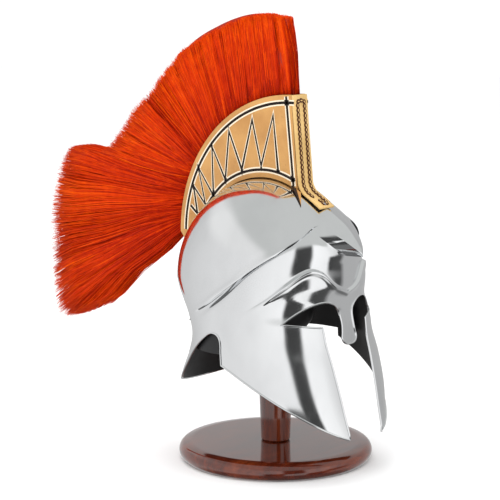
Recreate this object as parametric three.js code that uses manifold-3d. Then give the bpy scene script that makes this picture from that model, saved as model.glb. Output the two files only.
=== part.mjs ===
// A Corinthian style helmet of polished steel with a horsehair crest, on a turned wooden stand.
// Millimetres, +Z up. The face looks along -Y and the wearer's left side is +X.
// The origin is the centre of the underside of the stand's base.

import * as THREE from 'three';
import { mergeVertices } from 'three/addons/utils/BufferGeometryUtils.js';
import Module from 'manifold-3d';

const wasm = await Module();
wasm.setup();

const { smoothstep, degToRad, lerp } = THREE.MathUtils;

// Driving sizes of the helmet
const widestHeight = 218;
const domeRise = 120;
const halfWidth = 103;
const halfLength = 116;
const centreY = 5;
const wall = 1.6;
const lipOut = 2.2;
const coveDepth = 3.5;
const domeProw = 1.3;
const backSquareness = 2.2;

// Openings of the face, in the front view
const eyeOuterX = 81;
const eyeOuterZ = 183;
const eyeTopX = 34;
const eyeTopZ = 205;
const eyeSweep = 20;
const noseRootHalf = 20;
const noseShoulderHalf = 13;
const noseShoulderZ = 194;
const noseMidHalf = 8;
const noseMidZ = 180;
const noseBulbHalf = 13;
const noseBulbZ = 163;
const noseTipZ = 154;
const cheekGapTopHalf = 40;
const cheekGapTopZ = 177;
const cheekGapBottomHalf = 30;

// Lower edge, in the side view
const cheekTipY = -139;
const cheekTipZ = 47;
const cheekBackY = -10;
const cheekBackZ = 132;
const notchTopY = 4;
const notchTopZ = 168;
const neckRimY = 84;
const neckRimZ = 97;
const neckBackZ = 81;
const sheetBottom = 40;

// Crest holder
const crestHalf = 13;
const leather = 2.4;
const crestCentreY = -34;
const crestCentreZ = 262;
const crestRadius = 175;
const crestFrontTopY = -33;
const crestFrontFootY = -43;
const tabEndY = -77;
const tabLift = 0.5;
const fit = 0.3;
const seat = 0.5;
const flapReach = 16;
const flapSpread = 9;
const flapLift = 1.5;
const rivetRadius = 2.4;
const rivetHeight = 1.4;
const coreInset = 11;

// Plume
const hairBack = 371;
const hairTop = 536;
const hairRootHalf = 9;
const hairTipHalf = 17;
const lockCount = 26;
const backingDepth = 7;

// Stand
const baseRadius = 116;
const baseTopRadius = 101;
const baseHeight = 21;
const postRadius = 17;
const postNeckRadius = 21;
const headRadius = 48;
const headHeight = 186;

const steel = new THREE.MeshStandardMaterial({ color: 0xc8cacc, roughness: 0.12, metalness: 1 });
const tan = new THREE.MeshStandardMaterial({ color: 0xbe8c4b, roughness: 0.6, metalness: 0 });
const hair = new THREE.MeshStandardMaterial({ color: 0xd72d0a, roughness: 0.7, metalness: 0 });
const mahogany = new THREE.MeshStandardMaterial({ color: 0x5a1e0e, roughness: 0.15, metalness: 0 });

const helmet = new THREE.Group();

function addPiece(name, geometry, material) {
  const mesh = new THREE.Mesh(geometry, material);
  mesh.name = name;
  helmet.add(mesh);
  return mesh;
}

// Value of one column of a table at a place, eased smoothly between rows
function lookUp(rows, key, column, place) {
  if (place <= rows[0][key]) {
    return rows[0][column];
  }
  for (let i = 1; i < rows.length; i += 1) {
    if (place <= rows[i][key]) {
      const before = rows[Math.max(i - 2, 0)];
      const low = rows[i - 1];
      const high = rows[i];
      const after = rows[Math.min(i + 1, rows.length - 1)];
      const span = high[key] - low[key];
      const share = (place - low[key]) / span;
      const slopeIn = (high[column] - before[column]) / (high[key] - before[key]) * span;
      const slopeOut = (after[column] - low[column]) / (after[key] - low[key]) * span;
      const s2 = share * share;
      const s3 = s2 * share;
      return low[column] * (2 * s3 - 3 * s2 + 1) + slopeIn * (s3 - 2 * s2 + share)
        + high[column] * (3 * s2 - 2 * s3) + slopeOut * (s3 - s2);
    }
  }
  return rows[rows.length - 1][column];
}

// Sections below the widest height: shares of the widest height, half width and half length
const lowerSections = [
  { height: 0.18, width: 0.88, front: 1.27, back: 0.98, squareness: 2.6, behind: 1.9 },
  { height: 0.35, width: 1.01, front: 1.18, back: 0.97, squareness: 2.6, behind: 1.9 },
  { height: 0.46, width: 1.06, front: 1.128, back: 0.955, squareness: 2.6, behind: 1.9 },
  { height: 0.61, width: 1.07, front: 1.055, back: 0.84, squareness: 2.5, behind: 1.75 },
  { height: 0.72, width: 1.07, front: 1.0, back: 0.78, squareness: 2.3, behind: 1.7 },
  { height: 0.81, width: 1.05, front: 0.97, back: 0.84, squareness: 2.3, behind: 1.8 },
  { height: 0.885, width: 1.03, front: 0.94, back: 0.92, squareness: 2.15, behind: 1.95 },
  { height: 0.94, width: 1.01, front: 0.95, back: 0.97, squareness: 2.05, behind: 2.1 },
  { height: 1.0, width: 1.0, front: 0.98, back: 1.0, squareness: 2.0, behind: 2.2 },
];

// Above it: lift is the angle up the dome in degrees, front lengths are shares of the half length
const upperSections = [
  { lift: 0, dome: 1.107, face: 0.98 },
  { lift: 12, dome: 1.169, face: 1.0 },
  { lift: 21, dome: 1.221, face: 1.05 },
  { lift: 31, dome: 1.2, face: 1.09 },
  { lift: 38, dome: 1.16, face: 1.08 },
  { lift: 48, dome: 1.045, face: 1.03 },
  { lift: 64, dome: 0.962, face: 0.962 },
  { lift: 90, dome: 0.952, face: 0.952 },
];

// The brow lines around the helmet: turn is in degrees from the front, heights are shares
const browLines = [
  { turn: 0, ridge: 1.19, arch: 0.985 },
  { turn: 12, ridge: 1.24, arch: 1.03 },
  { turn: 22, ridge: 1.30, arch: 1.10 },
  { turn: 32, ridge: 1.35, arch: 1.115 },
  { turn: 46, ridge: 1.29, arch: 1.04 },
  { turn: 59, ridge: 1.21, arch: 0.95 },
  { turn: 71, ridge: 1.12, arch: 0.89 },
  { turn: 84, ridge: 1.01, arch: 0.85 },
  { turn: 102, ridge: 0.90, arch: 0.81 },
  { turn: 130, ridge: 0.83, arch: 0.77 },
  { turn: 180, ridge: 0.80, arch: 0.74 },
];

// Outer surface of one section, on the dome or on the face
function sectionPoint(turn, z, onDome) {
  const angle = degToRad(turn);
  const lift = Math.asin(THREE.MathUtils.clamp((z - widestHeight) / domeRise, 0, 1));
  const shrink = Math.cos(lift);
  const liftDegrees = THREE.MathUtils.radToDeg(lift);
  const share = z / widestHeight;
  const low = z < widestHeight;
  const width = halfWidth * (low ? lookUp(lowerSections, 'height', 'width', share) : shrink);
  const back = halfLength * (low ? lookUp(lowerSections, 'height', 'back', share) : shrink);
  let front = halfLength * shrink * lookUp(upperSections, 'lift', onDome ? 'dome' : 'face', liftDegrees);
  let squareX = low ? lookUp(lowerSections, 'height', 'squareness', share) : 2;
  let squareY = squareX;
  if (low && !onDome) {
    front = halfLength * lookUp(lowerSections, 'height', 'front', share);
  }
  if (onDome) {
    const prow = smoothstep(z, widestHeight * 0.95, widestHeight + domeRise * 0.3)
      * (1 - smoothstep(liftDegrees, 45, 85));
    squareX = lerp(2, domeProw, prow);
    squareY = 2;
  }
  if (turn <= 90) {
    const x = width * Math.sin(angle) ** (2 / squareX);
    const y = centreY - front * Math.max(Math.cos(angle), 0) ** (2 / squareY);
    return new THREE.Vector3(x, y, z);
  }
  const behind = low ? lookUp(lowerSections, 'height', 'behind', share) : backSquareness;
  const squareBack = lerp(2, behind, smoothstep(turn, 90, 150));
  const x = width * Math.max(Math.sin(angle), 0) ** (2 / squareBack);
  const y = centreY + back * Math.max(-Math.cos(angle), 0) ** (2 / squareBack);
  return new THREE.Vector3(x, y, z);
}

// One column of the outer sheet, from the bottom to the crown
function sheetColumn(turn) {
  const ridge = widestHeight * lookUp(browLines, 'turn', 'ridge', turn);
  const arch = widestHeight * lookUp(browLines, 'turn', 'arch', turn);
  const ridgeFade = 1 - smoothstep(turn, 78, 108);
  const archFade = 1 - smoothstep(turn, 45, 72);
  const points = [];
  const push = (z, onDome, out) => {
    const point = sectionPoint(turn, z, onDome);
    const outward = new THREE.Vector3(point.x, point.y - centreY, 0).normalize();
    points.push(point.addScaledVector(outward, out));
  };
  const lowerRows = 10;
  for (let i = 0; i <= lowerRows; i += 1) {
    push(lerp(sheetBottom, arch, i / lowerRows), false, 0);
  }
  push(arch + 3, false, -coveDepth * archFade);
  push(lerp(arch, ridge, 0.5), false, -coveDepth * archFade);
  push(ridge - 5, false, -coveDepth * ridgeFade);
  push(ridge - 3, true, lipOut * ridgeFade);
  push(ridge, true, lipOut * ridgeFade);
  push(ridge + 5, true, 0);
  const domeRows = 9;
  const firstLift = Math.asin(Math.max(ridge + 5 - widestHeight, 0) / domeRise);
  for (let i = 1; i < domeRows; i += 1) {
    const lift = lerp(firstLift, Math.PI / 2, i / domeRows);
    const start = Math.min((ridge + 5 - widestHeight) / domeRise, 0);
    const share = start + (Math.sin(lift) - start) * (start < 0 ? Math.sin(Math.PI / 2 * i / domeRows) : 1);
    push(widestHeight + domeRise * share, true, 0);
  }
  return points;
}

// A grid of points around the helmet, closed at the crown and open at the bottom
function sheetGrid(columns) {
  const half = [];
  for (let i = 0; i <= columns; i += 1) {
    half.push(sheetColumn(180 * i / columns));
  }
  const mirrored = half.slice(1, -1).reverse().map(
    (column) => column.map((point) => new THREE.Vector3(-point.x, point.y, point.z)));
  return [...half, ...mirrored];
}

const grid = sheetGrid(26);
const crown = new THREE.Vector3(0, centreY, widestHeight + domeRise);
const columnCount = grid.length;
const rowCount = grid[0].length;

function gridNormal(i, j) {
  const left = grid[(i + columnCount - 1) % columnCount][j];
  const right = grid[(i + 1) % columnCount][j];
  const below = grid[i][Math.max(j - 1, 0)];
  const above = j + 1 < rowCount ? grid[i][j + 1] : crown;
  const along = new THREE.Vector3().subVectors(right, left);
  const up = new THREE.Vector3().subVectors(above, below);
  return along.cross(up).normalize();
}

// The closed sheet: outer grid, inner grid one wall inside it, and a rim between them
function sheetGeometry() {
  const positions = [];
  const add = (point) => positions.push(point.x, point.y, point.z) / 3 - 1;
  const outer = grid.map((column) => column.map(add));
  const inner = grid.map((column, i) => column.map(
    (point, j) => add(point.clone().addScaledVector(gridNormal(i, j), -wall))));
  const outerCrown = add(crown);
  const innerCrown = add(crown.clone().setZ(crown.z - wall));
  const faces = [];
  const quad = (a, b, c, d) => faces.push(a, b, c, a, c, d);
  for (let i = 0; i < columnCount; i += 1) {
    const k = (i + 1) % columnCount;
    for (let j = 0; j + 1 < rowCount; j += 1) {
      quad(outer[i][j], outer[k][j], outer[k][j + 1], outer[i][j + 1]);
      quad(inner[k][j], inner[i][j], inner[i][j + 1], inner[k][j + 1]);
    }
    faces.push(outer[i][rowCount - 1], outer[k][rowCount - 1], outerCrown);
    faces.push(inner[k][rowCount - 1], inner[i][rowCount - 1], innerCrown);
    quad(inner[i][0], inner[k][0], outer[k][0], outer[i][0]);
  }
  const geometry = new THREE.BufferGeometry();
  geometry.setAttribute('position', new THREE.Float32BufferAttribute(positions, 3));
  geometry.setIndex(faces);
  return geometry;
}

function toSolid(geometry) {
  const bare = geometry.clone();
  bare.deleteAttribute('normal');
  bare.deleteAttribute('uv');
  const merged = mergeVertices(bare, 1e-4);
  return new wasm.Manifold(new wasm.Mesh({
    numProp: 3,
    vertProperties: new Float32Array(merged.attributes.position.array),
    triVerts: new Uint32Array(merged.index.array),
  }));
}

function toGeometry(solid) {
  const mesh = solid.getMesh();
  const geometry = new THREE.BufferGeometry();
  geometry.setAttribute('position', new THREE.BufferAttribute(new Float32Array(mesh.vertProperties), 3));
  geometry.setIndex(new THREE.BufferAttribute(new Uint32Array(mesh.triVerts), 1));
  return geometry;
}

// A flat outline drawn in X and Z, pushed through from one Y to another
function alongY(shape, fromY, toY) {
  const geometry = new THREE.ExtrudeGeometry(shape, { depth: toY - fromY, bevelEnabled: false, curveSegments: 8 });
  geometry.rotateX(Math.PI / 2);
  geometry.translate(0, toY, 0);
  return geometry;
}

// A flat outline drawn in Y and Z, pushed through from one X to another
function alongX(shape, fromX, toX) {
  const geometry = new THREE.ExtrudeGeometry(shape, { depth: toX - fromX, bevelEnabled: false, curveSegments: 8 });
  geometry.rotateX(Math.PI / 2);
  geometry.rotateZ(Math.PI / 2);
  geometry.translate(fromX, 0, 0);
  return geometry;
}

// The face opening: eyes, the gap between the cheek guards, and the nose guard left standing
function faceOutline() {
  const shape = new THREE.Shape();
  const low = sheetBottom - 20;
  shape.moveTo(-cheekGapBottomHalf, low);
  shape.lineTo(cheekGapBottomHalf, low);
  shape.lineTo(cheekGapBottomHalf, cheekTipZ);
  shape.lineTo(cheekGapTopHalf, cheekGapTopZ);
  shape.lineTo(eyeOuterX, eyeOuterZ);
  shape.quadraticCurveTo(eyeTopX + eyeSweep, eyeTopZ, eyeTopX, eyeTopZ);
  shape.quadraticCurveTo(noseRootHalf, eyeTopZ, noseShoulderHalf, noseShoulderZ);
  shape.quadraticCurveTo(noseMidHalf, noseMidZ, noseBulbHalf, noseBulbZ);
  shape.quadraticCurveTo(noseBulbHalf, noseTipZ, 0, noseTipZ);
  shape.quadraticCurveTo(-noseBulbHalf, noseTipZ, -noseBulbHalf, noseBulbZ);
  shape.quadraticCurveTo(-noseMidHalf, noseMidZ, -noseShoulderHalf, noseShoulderZ);
  shape.quadraticCurveTo(-noseRootHalf, eyeTopZ, -eyeTopX, eyeTopZ);
  shape.quadraticCurveTo(-eyeTopX - eyeSweep, eyeTopZ, -eyeOuterX, eyeOuterZ);
  shape.lineTo(-cheekGapTopHalf, cheekGapTopZ);
  shape.lineTo(-cheekGapBottomHalf, cheekTipZ);
  return shape;
}

// What is trimmed off below: cheek edge, ear notch and neck rim
function lowerOutline() {
  const shape = new THREE.Shape();
  const low = sheetBottom - 20;
  shape.moveTo(cheekTipY - 60, low);
  shape.lineTo(halfLength * 2, low);
  shape.lineTo(halfLength * 2, neckBackZ);
  shape.lineTo(halfLength + centreY, neckBackZ);
  shape.lineTo(neckRimY, neckRimZ);
  shape.quadraticCurveTo(notchTopY + 46, lerp(neckRimZ, notchTopZ, 0.55), notchTopY + 11, notchTopZ - 5);
  shape.quadraticCurveTo(notchTopY + 5, notchTopZ, notchTopY, notchTopZ);
  shape.quadraticCurveTo(notchTopY - 14, notchTopZ, cheekBackY + 1, lerp(cheekBackZ, notchTopZ, 0.45));
  shape.lineTo(cheekBackY, cheekBackZ);
  shape.quadraticCurveTo(lerp(cheekBackY, cheekTipY, 0.62), lerp(cheekBackZ, cheekTipZ, 0.44),
    cheekTipY, cheekTipZ);
  shape.lineTo(cheekTipY - 60, low + 1);
  return shape;
}

const faceReachY = -18;
let shell = toSolid(sheetGeometry());
shell = shell.subtract(toSolid(alongY(faceOutline(), -halfLength * 2, faceReachY)));
shell = shell.subtract(toSolid(alongX(lowerOutline(), -halfWidth * 1.5, halfWidth * 1.5)));
addPiece('helmet_shell', toGeometry(shell), steel);

// Height of the dome's outer face over a point of the plan
function domeHeight(x, y) {
  let low = widestHeight;
  let high = widestHeight + domeRise;
  for (let i = 0; i < 40; i += 1) {
    const z = (low + high) / 2;
    const lift = Math.asin((z - widestHeight) / domeRise);
    const shrink = Math.cos(lift);
    const liftDegrees = THREE.MathUtils.radToDeg(lift);
    const prow = smoothstep(z, widestHeight * 0.95, widestHeight + domeRise * 0.3)
      * (1 - smoothstep(liftDegrees, 45, 85));
    const ahead = y < centreY;
    const reach = halfLength * shrink * (ahead ? lookUp(upperSections, 'lift', 'dome', liftDegrees) : 1);
    const squareX = ahead ? lerp(2, domeProw, prow) : backSquareness;
    const squareY = ahead ? 2 : backSquareness;
    const inside = (Math.abs(x) / (halfWidth * shrink)) ** squareX
      + (Math.abs(y - centreY) / reach) ** squareY < 1;
    if (inside) {
      low = z;
    } else {
      high = z;
    }
  }
  return low;
}

// Highest point of the dome under a strip as wide as the crest
function domeUnder(y, halfSpan) {
  let top = 0;
  for (const share of [0, 0.5, 1]) {
    top = Math.max(top, domeHeight(halfSpan * share, y));
  }
  return top;
}

// Side view of the crest holder: an arc over the dome, open towards the front
function crestOutline(inset, lift, innerX) {
  const shape = new THREE.Shape();
  const radius = crestRadius - inset;
  const frontY = crestFrontTopY + fit;
  const footY = crestFrontFootY + fit;
  const steps = 24;
  const points = [];
  for (let i = 0; i <= steps; i += 1) {
    const angle = degToRad(lerp(90, 0, i / steps));
    const y = crestCentreY + radius * Math.cos(angle);
    const z = crestCentreZ + radius * Math.sin(angle);
    if (z > domeUnder(y, innerX) + lift + leather) {
      points.push([y, z]);
    }
  }
  points[0][0] = frontY;
  const lowerStart = halfLength + centreY - 1;
  const first = Math.min(points[points.length - 1][0], lowerStart);
  for (let i = 0; i <= steps; i += 1) {
    const y = lerp(first, footY, 1 - Math.cos(Math.PI / 2 * i / steps));
    points.push([y, domeUnder(y, innerX) + lift]);
  }
  points.forEach(([y, z], i) => (i ? shape.lineTo(y, z) : shape.moveTo(y, z)));
  return shape;
}

const panelOutline = crestOutline(0, seat, crestHalf);
addPiece('crest_panel_left', alongX(panelOutline, crestHalf - leather, crestHalf), tan);
addPiece('crest_panel_right', alongX(panelOutline, -crestHalf, leather - crestHalf), tan);

const coreHalf = crestHalf - leather - fit;
const coreOutline = crestOutline(coreInset, seat, coreHalf);
addPiece('crest_core', alongX(coreOutline, -coreHalf, coreHalf), tan);

// Front strip: down the front of the crest, then forward over the brow
function stripOutline() {
  const top = crestCentreZ + Math.sqrt(crestRadius ** 2 - (crestFrontTopY - crestCentreY) ** 2);
  const foot = domeUnder(crestFrontFootY, crestHalf) + tabLift;
  const steps = 7;
  const under = [];
  for (let i = 0; i <= steps; i += 1) {
    const y = lerp(crestFrontFootY, tabEndY, i / steps);
    under.push([y, domeUnder(y, crestHalf) + tabLift]);
  }
  const shape = new THREE.Shape();
  shape.moveTo(crestFrontTopY, top);
  shape.lineTo(crestFrontFootY, foot);
  under.slice(1).forEach(([y, z]) => shape.lineTo(y, z));
  under.slice(2).reverse().forEach(([y, z]) => shape.lineTo(y, z + leather));
  shape.lineTo(crestFrontFootY - leather - 1, foot + leather * 1.6);
  shape.lineTo(crestFrontTopY - leather, top);
  return shape;
}
addPiece('crest_front_strip', alongX(stripOutline(), -crestHalf, crestHalf), tan);

// Pointed corners of the side panels, lying on the dome
function flapGeometry(side) {
  const rootX = crestHalf + fit;
  const tip = [rootX + flapSpread, crestFrontFootY - flapReach];
  const plan = [[rootX, crestFrontFootY + 6], [rootX, crestFrontFootY - 5], tip];
  const positions = [];
  for (const lift of [flapLift, flapLift + leather]) {
    for (const [x, y] of plan) {
      positions.push(x * side, y, domeHeight(x, y) + lift);
    }
  }
  const geometry = new THREE.BufferGeometry();
  geometry.setAttribute('position', new THREE.Float32BufferAttribute(positions, 3));
  const faces = [0, 2, 1, 3, 4, 5, 0, 1, 4, 0, 4, 3, 1, 2, 5, 1, 5, 4, 2, 0, 3, 2, 3, 5];
  const flipped = [];
  for (let i = 0; i < faces.length; i += 3) {
    flipped.push(faces[i], faces[i + 2], faces[i + 1]);
  }
  geometry.setIndex(side > 0 ? faces : flipped);
  return geometry;
}
addPiece('crest_flap_left', flapGeometry(1), tan);
addPiece('crest_flap_right', flapGeometry(-1), tan);

// A turned piece, its profile listed from the bottom to the top
function lathe(points, segments) {
  const geometry = new THREE.LatheGeometry(points.map(([r, z]) => new THREE.Vector2(r, z)), segments);
  geometry.rotateX(Math.PI / 2);
  return geometry;
}
const rivetY = lerp(crestFrontFootY, tabEndY, 0.86);
const rivet = lathe([[0, 0], [rivetRadius, 0], [rivetRadius * 0.7, rivetHeight * 0.8], [0, rivetHeight]], 12);
const tabRise = domeUnder(rivetY + rivetRadius, crestHalf) - domeUnder(rivetY - rivetRadius, crestHalf);
rivet.rotateX(Math.atan2(tabRise, 2 * rivetRadius));
rivet.translate(0, rivetY, domeUnder(rivetY, crestHalf) + tabLift + leather + 2 * fit);
addPiece('crest_rivet', rivet, steel);

// Tips of the hair by their share along the crest: shares of the plume's reach back and of its top
const hairTips = [
  { root: 0.0, back: -0.075, up: 0.990 },
  { root: 0.12, back: 0.014, up: 1.0 },
  { root: 0.25, back: 0.11, up: 0.997 },
  { root: 0.38, back: 0.232, up: 0.974 },
  { root: 0.5, back: 0.36, up: 0.932 },
  { root: 0.6, back: 0.477, up: 0.858 },
  { root: 0.7, back: 0.605, up: 0.757 },
  { root: 0.76, back: 0.741, up: 0.658 },
  { root: 0.81, back: 0.902, up: 0.655 },
  { root: 0.88, back: 0.995, up: 0.5 },
  { root: 0.93, back: 0.99, up: 0.366 },
  { root: 0.97, back: 0.955, up: 0.243 },
  { root: 1.0, back: 0.78, up: 0.278 },
];

const rootRadius = crestRadius - coreInset + fit;

function rootPoint(share) {
  const angle = degToRad(lerp(88.5, 2, share));
  return [crestCentreY + rootRadius * Math.cos(angle), crestCentreZ + rootRadius * Math.sin(angle)];
}

function tipPoint(share) {
  return [hairBack * lookUp(hairTips, 'root', 'back', share), hairTop * lookUp(hairTips, 'root', 'up', share)];
}

// A closed block from a strip of stations, each with a place and a half thickness
function lockSolid(share, spread, fullness) {
  const low = Math.max(share - spread, 0);
  const high = Math.min(share + spread, 1);
  const reach = 1 - 0.012 * Math.abs(Math.sin(share * 57));
  const stations = [0, 0.16, 0.55, 1];
  const positions = [];
  stations.forEach((along) => {
    const half = along < 0.2 ? hairRootHalf : lerp(hairRootHalf, hairTipHalf * fullness, along);
    for (const [edge, sideways] of [[low, -1], [high, -1], [high, 1], [low, 1]]) {
      const [rootY, rootZ] = rootPoint(edge);
      const [tipY, tipZ] = tipPoint(edge);
      positions.push(half * sideways, lerp(rootY, tipY, along * reach), lerp(rootZ, tipZ, along * reach));
    }
  });
  const faces = [];
  const quad = (a, b, c, d) => faces.push(a, b, c, a, c, d);
  quad(0, 1, 2, 3);
  for (let s = 0; s + 1 < stations.length; s += 1) {
    for (let k = 0; k < 4; k += 1) {
      const next = (k + 1) % 4;
      quad(s * 4 + next, s * 4 + k, s * 4 + 4 + k, s * 4 + 4 + next);
    }
  }
  const end = (stations.length - 1) * 4;
  quad(end + 3, end + 2, end + 1, end);
  const geometry = new THREE.BufferGeometry();
  geometry.setAttribute('position', new THREE.Float32BufferAttribute(positions, 3));
  geometry.setIndex(faces);
  return toSolid(geometry);
}

// The backing is a bent strip along the crest that every lock grows from
function backingSolid() {
  const shape = new THREE.Shape();
  const steps = 24;
  for (let i = 0; i <= steps; i += 1) {
    const [y, z] = rootPoint(i / steps);
    if (i) {
      shape.lineTo(y, z);
    } else {
      shape.moveTo(y, z);
    }
  }
  for (let i = steps; i >= 0; i -= 1) {
    const [y, z] = rootPoint(i / steps);
    const grow = (rootRadius + backingDepth) / rootRadius;
    shape.lineTo(crestCentreY + (y - crestCentreY) * grow, crestCentreZ + (z - crestCentreZ) * grow);
  }
  return toSolid(alongX(shape, -hairRootHalf, hairRootHalf));
}

let plume = backingSolid();
for (let i = 0; i < lockCount; i += 1) {
  const share = (i + 0.5) / lockCount;
  const fullness = 0.82 + 0.18 * Math.sin(i * 2.4);
  plume = plume.add(lockSolid(share, 0.56 / lockCount, fullness));
}
addPiece('plume', toGeometry(plume), hair);

// Stand: round base with a rounded edge, turned post and a plain head under the dome
const edgeRadius = baseHeight / 2;
const base = [[0, 0], [baseRadius - edgeRadius * 0.7, 0]];
for (const degrees of [-40, -10, 20, 50, 80]) {
  const angle = degToRad(degrees);
  base.push([baseRadius - edgeRadius + edgeRadius * Math.cos(angle), edgeRadius + edgeRadius * 0.96 * Math.sin(angle)]);
}
base.push([baseTopRadius, baseHeight], [0, baseHeight]);
addPiece('stand_base', lathe(base, 72), mahogany);

const headTop = widestHeight + domeRise - wall - seat;
const headFoot = headTop - headHeight;
const post = [
  [0, baseHeight + fit],
  [postRadius, baseHeight + fit],
  [postNeckRadius, lerp(baseHeight, headFoot, 0.6)],
  [postNeckRadius, headFoot - fit],
  [0, headFoot - fit],
];
addPiece('stand_post', lathe(post, 32), mahogany);

const head = [
  [0, headFoot],
  [headRadius * 0.6, headFoot],
  [headRadius * 0.9, headFoot + headHeight * 0.1],
  [headRadius, headFoot + headHeight * 0.3],
  [headRadius, headTop - headHeight * 0.3],
  [headRadius * 0.88, headTop - headHeight * 0.14],
  [headRadius * 0.6, headTop - headHeight * 0.05],
  [headRadius * 0.3, headTop - headHeight * 0.012],
  [0, headTop],
];
addPiece('stand_head', lathe(head, 32), mahogany);

export default helmet;
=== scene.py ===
# Polished steel helmet with a tooled leather crest holder, a horsehair plume and a glossy wooden stand.
# Metres, +Z up. The face looks along -Y and the wearer's left side is +X.
import math

import bpy
import numpy as np
from mathutils import Matrix, Vector


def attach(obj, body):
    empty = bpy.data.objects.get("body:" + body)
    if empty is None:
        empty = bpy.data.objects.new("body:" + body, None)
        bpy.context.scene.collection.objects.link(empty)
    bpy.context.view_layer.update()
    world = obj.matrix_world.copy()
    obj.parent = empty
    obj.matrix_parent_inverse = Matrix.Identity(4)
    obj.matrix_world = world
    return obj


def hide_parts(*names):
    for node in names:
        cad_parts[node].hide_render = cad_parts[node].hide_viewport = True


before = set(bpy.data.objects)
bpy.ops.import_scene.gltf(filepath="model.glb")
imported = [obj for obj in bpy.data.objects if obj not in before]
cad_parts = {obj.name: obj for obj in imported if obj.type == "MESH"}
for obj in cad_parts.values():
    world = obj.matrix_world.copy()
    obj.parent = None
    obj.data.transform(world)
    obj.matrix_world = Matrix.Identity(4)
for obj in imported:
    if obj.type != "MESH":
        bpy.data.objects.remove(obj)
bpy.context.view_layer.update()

MM = 0.001

# Sizes of the helmet in millimetres, as in the part's source
WIDEST_HEIGHT = 218
DOME_RISE = 120
HALF_WIDTH = 103
HALF_LENGTH = 116
CENTRE_Y = 5
WALL = 1.6
BEAD_RADIUS = 1.15
OVAL = 2  # exponent of a plain oval section
DOME_PROW = 1.3
BACK_SQUARENESS = 2.2
PROW_LIFTS = (45, 85)
LIP_OUT = 2.0
LIP_HALF_HEIGHT = 4.5
COVE_DEPTH = 3.4
RIDGE_COVE_DEPTH = 2.2
UNDERCUT_DEPTH = 1.4
ROLL_OUT = 1.3
# Turns from the front, in degrees, over which each form fades
RIDGE_FADE = (88, 112)
ARCH_FADE = (48, 72)
MIDDLE_FADE = (10, 30)
BACK_EASE = (90, 150)

# Rows of the sheet's mesh above or below the arch and the ridge
FACE_ROWS = 44
COVE_ROWS = 10
DOME_ROWS = 52
ARCH_ROWS = (-7, -5.5, -4, -2.8, -1.8, -1, -0.4, 0.2, 0.8, 1.5, 2.6, 4)
UNDER_RIDGE_ROWS = (-9, -7.5, -6, -5, -4)
OVER_RIDGE_ROWS = (-2.6, -2, -1, 0, 1.2, 3, 5, 8)

# Outlines in the front view (X, Z) and the side view (Y, Z)
EYE_OUTER = (81, 183)
EYE_TOP = (34, 205)
EYE_SWEEP = 20
NOSE_ROOT_HALF = 20
NOSE_SHOULDER = (13, 194)
NOSE_MID = (8, 180)
NOSE_BULB = (13, 163)
NOSE_TIP_Z = 154
CHEEK_GAP_TOP = (40, 177)
CHEEK_GAP_BOTTOM_HALF = 30
CHEEK_TIP = (-139, 47)
CHEEK_BACK = (-10, 132)
CHEEK_BEND = (0.62, 0.44)  # shares of the way from the cheek's back to its tip
NOTCH_FRONT_RISE = 0.45
NOTCH_LEAD = 14
NOTCH_SLOPE = (11, 5)
NECK_BEND = 46
NECK_BEND_RISE = 0.55
NOTCH_TOP = (4, 168)
NECK_RIM = (84, 97)
NECK_BACK_Z = 81
SHEET_BOTTOM = 40
FRONT_LIMIT = -135.2

# Crest holder and plume
CREST_HALF = 13
LEATHER = 2.4
CREST_CENTRE = (-34, 262)
CREST_RADIUS = 175
STRIP_TOP_Y = -33
STRIP_FOOT_Y = -43
TAB_END_Y = -77
HAIR_BACK = 371
HAIR_TOP = 536
HAIR_ROOT_HALF = 9
HAIR_TIP_HALF = 16
CORE_INSET = 11

# Padding inside the sides and back, near-black as painted shade inside the helmet
LINER_FRONT_TURN = 68
LINER_BOTTOM = 143
LINER_TOP = 214
LINER_GAP = 3.5
LINER_THICKNESS = 1.2

# Tooled cord on the front strip
CORD_RAIL = 6.2
CORD_TOP = 8.5
CORD_FOOT = 6
CORD_HOOK = 13
CORD_SWING = 1.8
CORD_PITCH = 11
CORD_RADIUS = 1.0
CORD_CORE = 1.2

# Stand
BASE_RADIUS = 116
BASE_TOP_RADIUS = 101
BASE_HEIGHT = 21
BASE_EASE = 0.2  # keeps the round rim inside the solids' box
POST_RADIUS = 17
POST_NECK_RADIUS = 21
HEAD_RADIUS = 48
HEAD_HEIGHT = 186
CLEARANCE = 0.3
HEAD_STEPS = {
    "out": (0.6, 0.9, 0.98, 1, 1, 0.98, 0.88, 0.75, 0.6, 0.3),
    "down": (1, 0.9, 0.8, 0.7, 0.3, 0.22, 0.14, 0.085, 0.05, 0.012),
}

LOWER_SECTIONS = {
    "height": (0.18, 0.35, 0.46, 0.61, 0.72, 0.81, 0.885, 0.94, 1.0),
    "width": (0.88, 1.01, 1.06, 1.07, 1.07, 1.05, 1.03, 1.01, 1.0),
    "front": (1.27, 1.18, 1.128, 1.055, 1.0, 0.97, 0.94, 0.95, 0.98),
    "back": (0.98, 0.97, 0.955, 0.84, 0.78, 0.84, 0.92, 0.97, 1.0),
    "squareness": (2.6, 2.6, 2.6, 2.5, 2.3, 2.3, 2.15, 2.05, 2.0),
    "behind": (1.9, 1.9, 1.9, 1.75, 1.7, 1.8, 1.95, 2.1, 2.2),
}
UPPER_SECTIONS = {
    "lift": (0, 12, 21, 31, 38, 48, 64, 90),
    "dome": (1.107, 1.169, 1.221, 1.2, 1.16, 1.045, 0.962, 0.952),
    "face": (0.98, 1.0, 1.05, 1.09, 1.08, 1.03, 0.962, 0.952),
}
BROW_LINES = {
    "turn": (0, 12, 22, 32, 46, 59, 71, 84, 102, 130, 180),
    "ridge": (1.19, 1.24, 1.30, 1.35, 1.29, 1.21, 1.12, 1.01, 0.90, 0.83, 0.80),
    "arch": (0.985, 1.03, 1.10, 1.115, 1.04, 0.95, 0.89, 0.85, 0.81, 0.77, 0.74),
}
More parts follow.
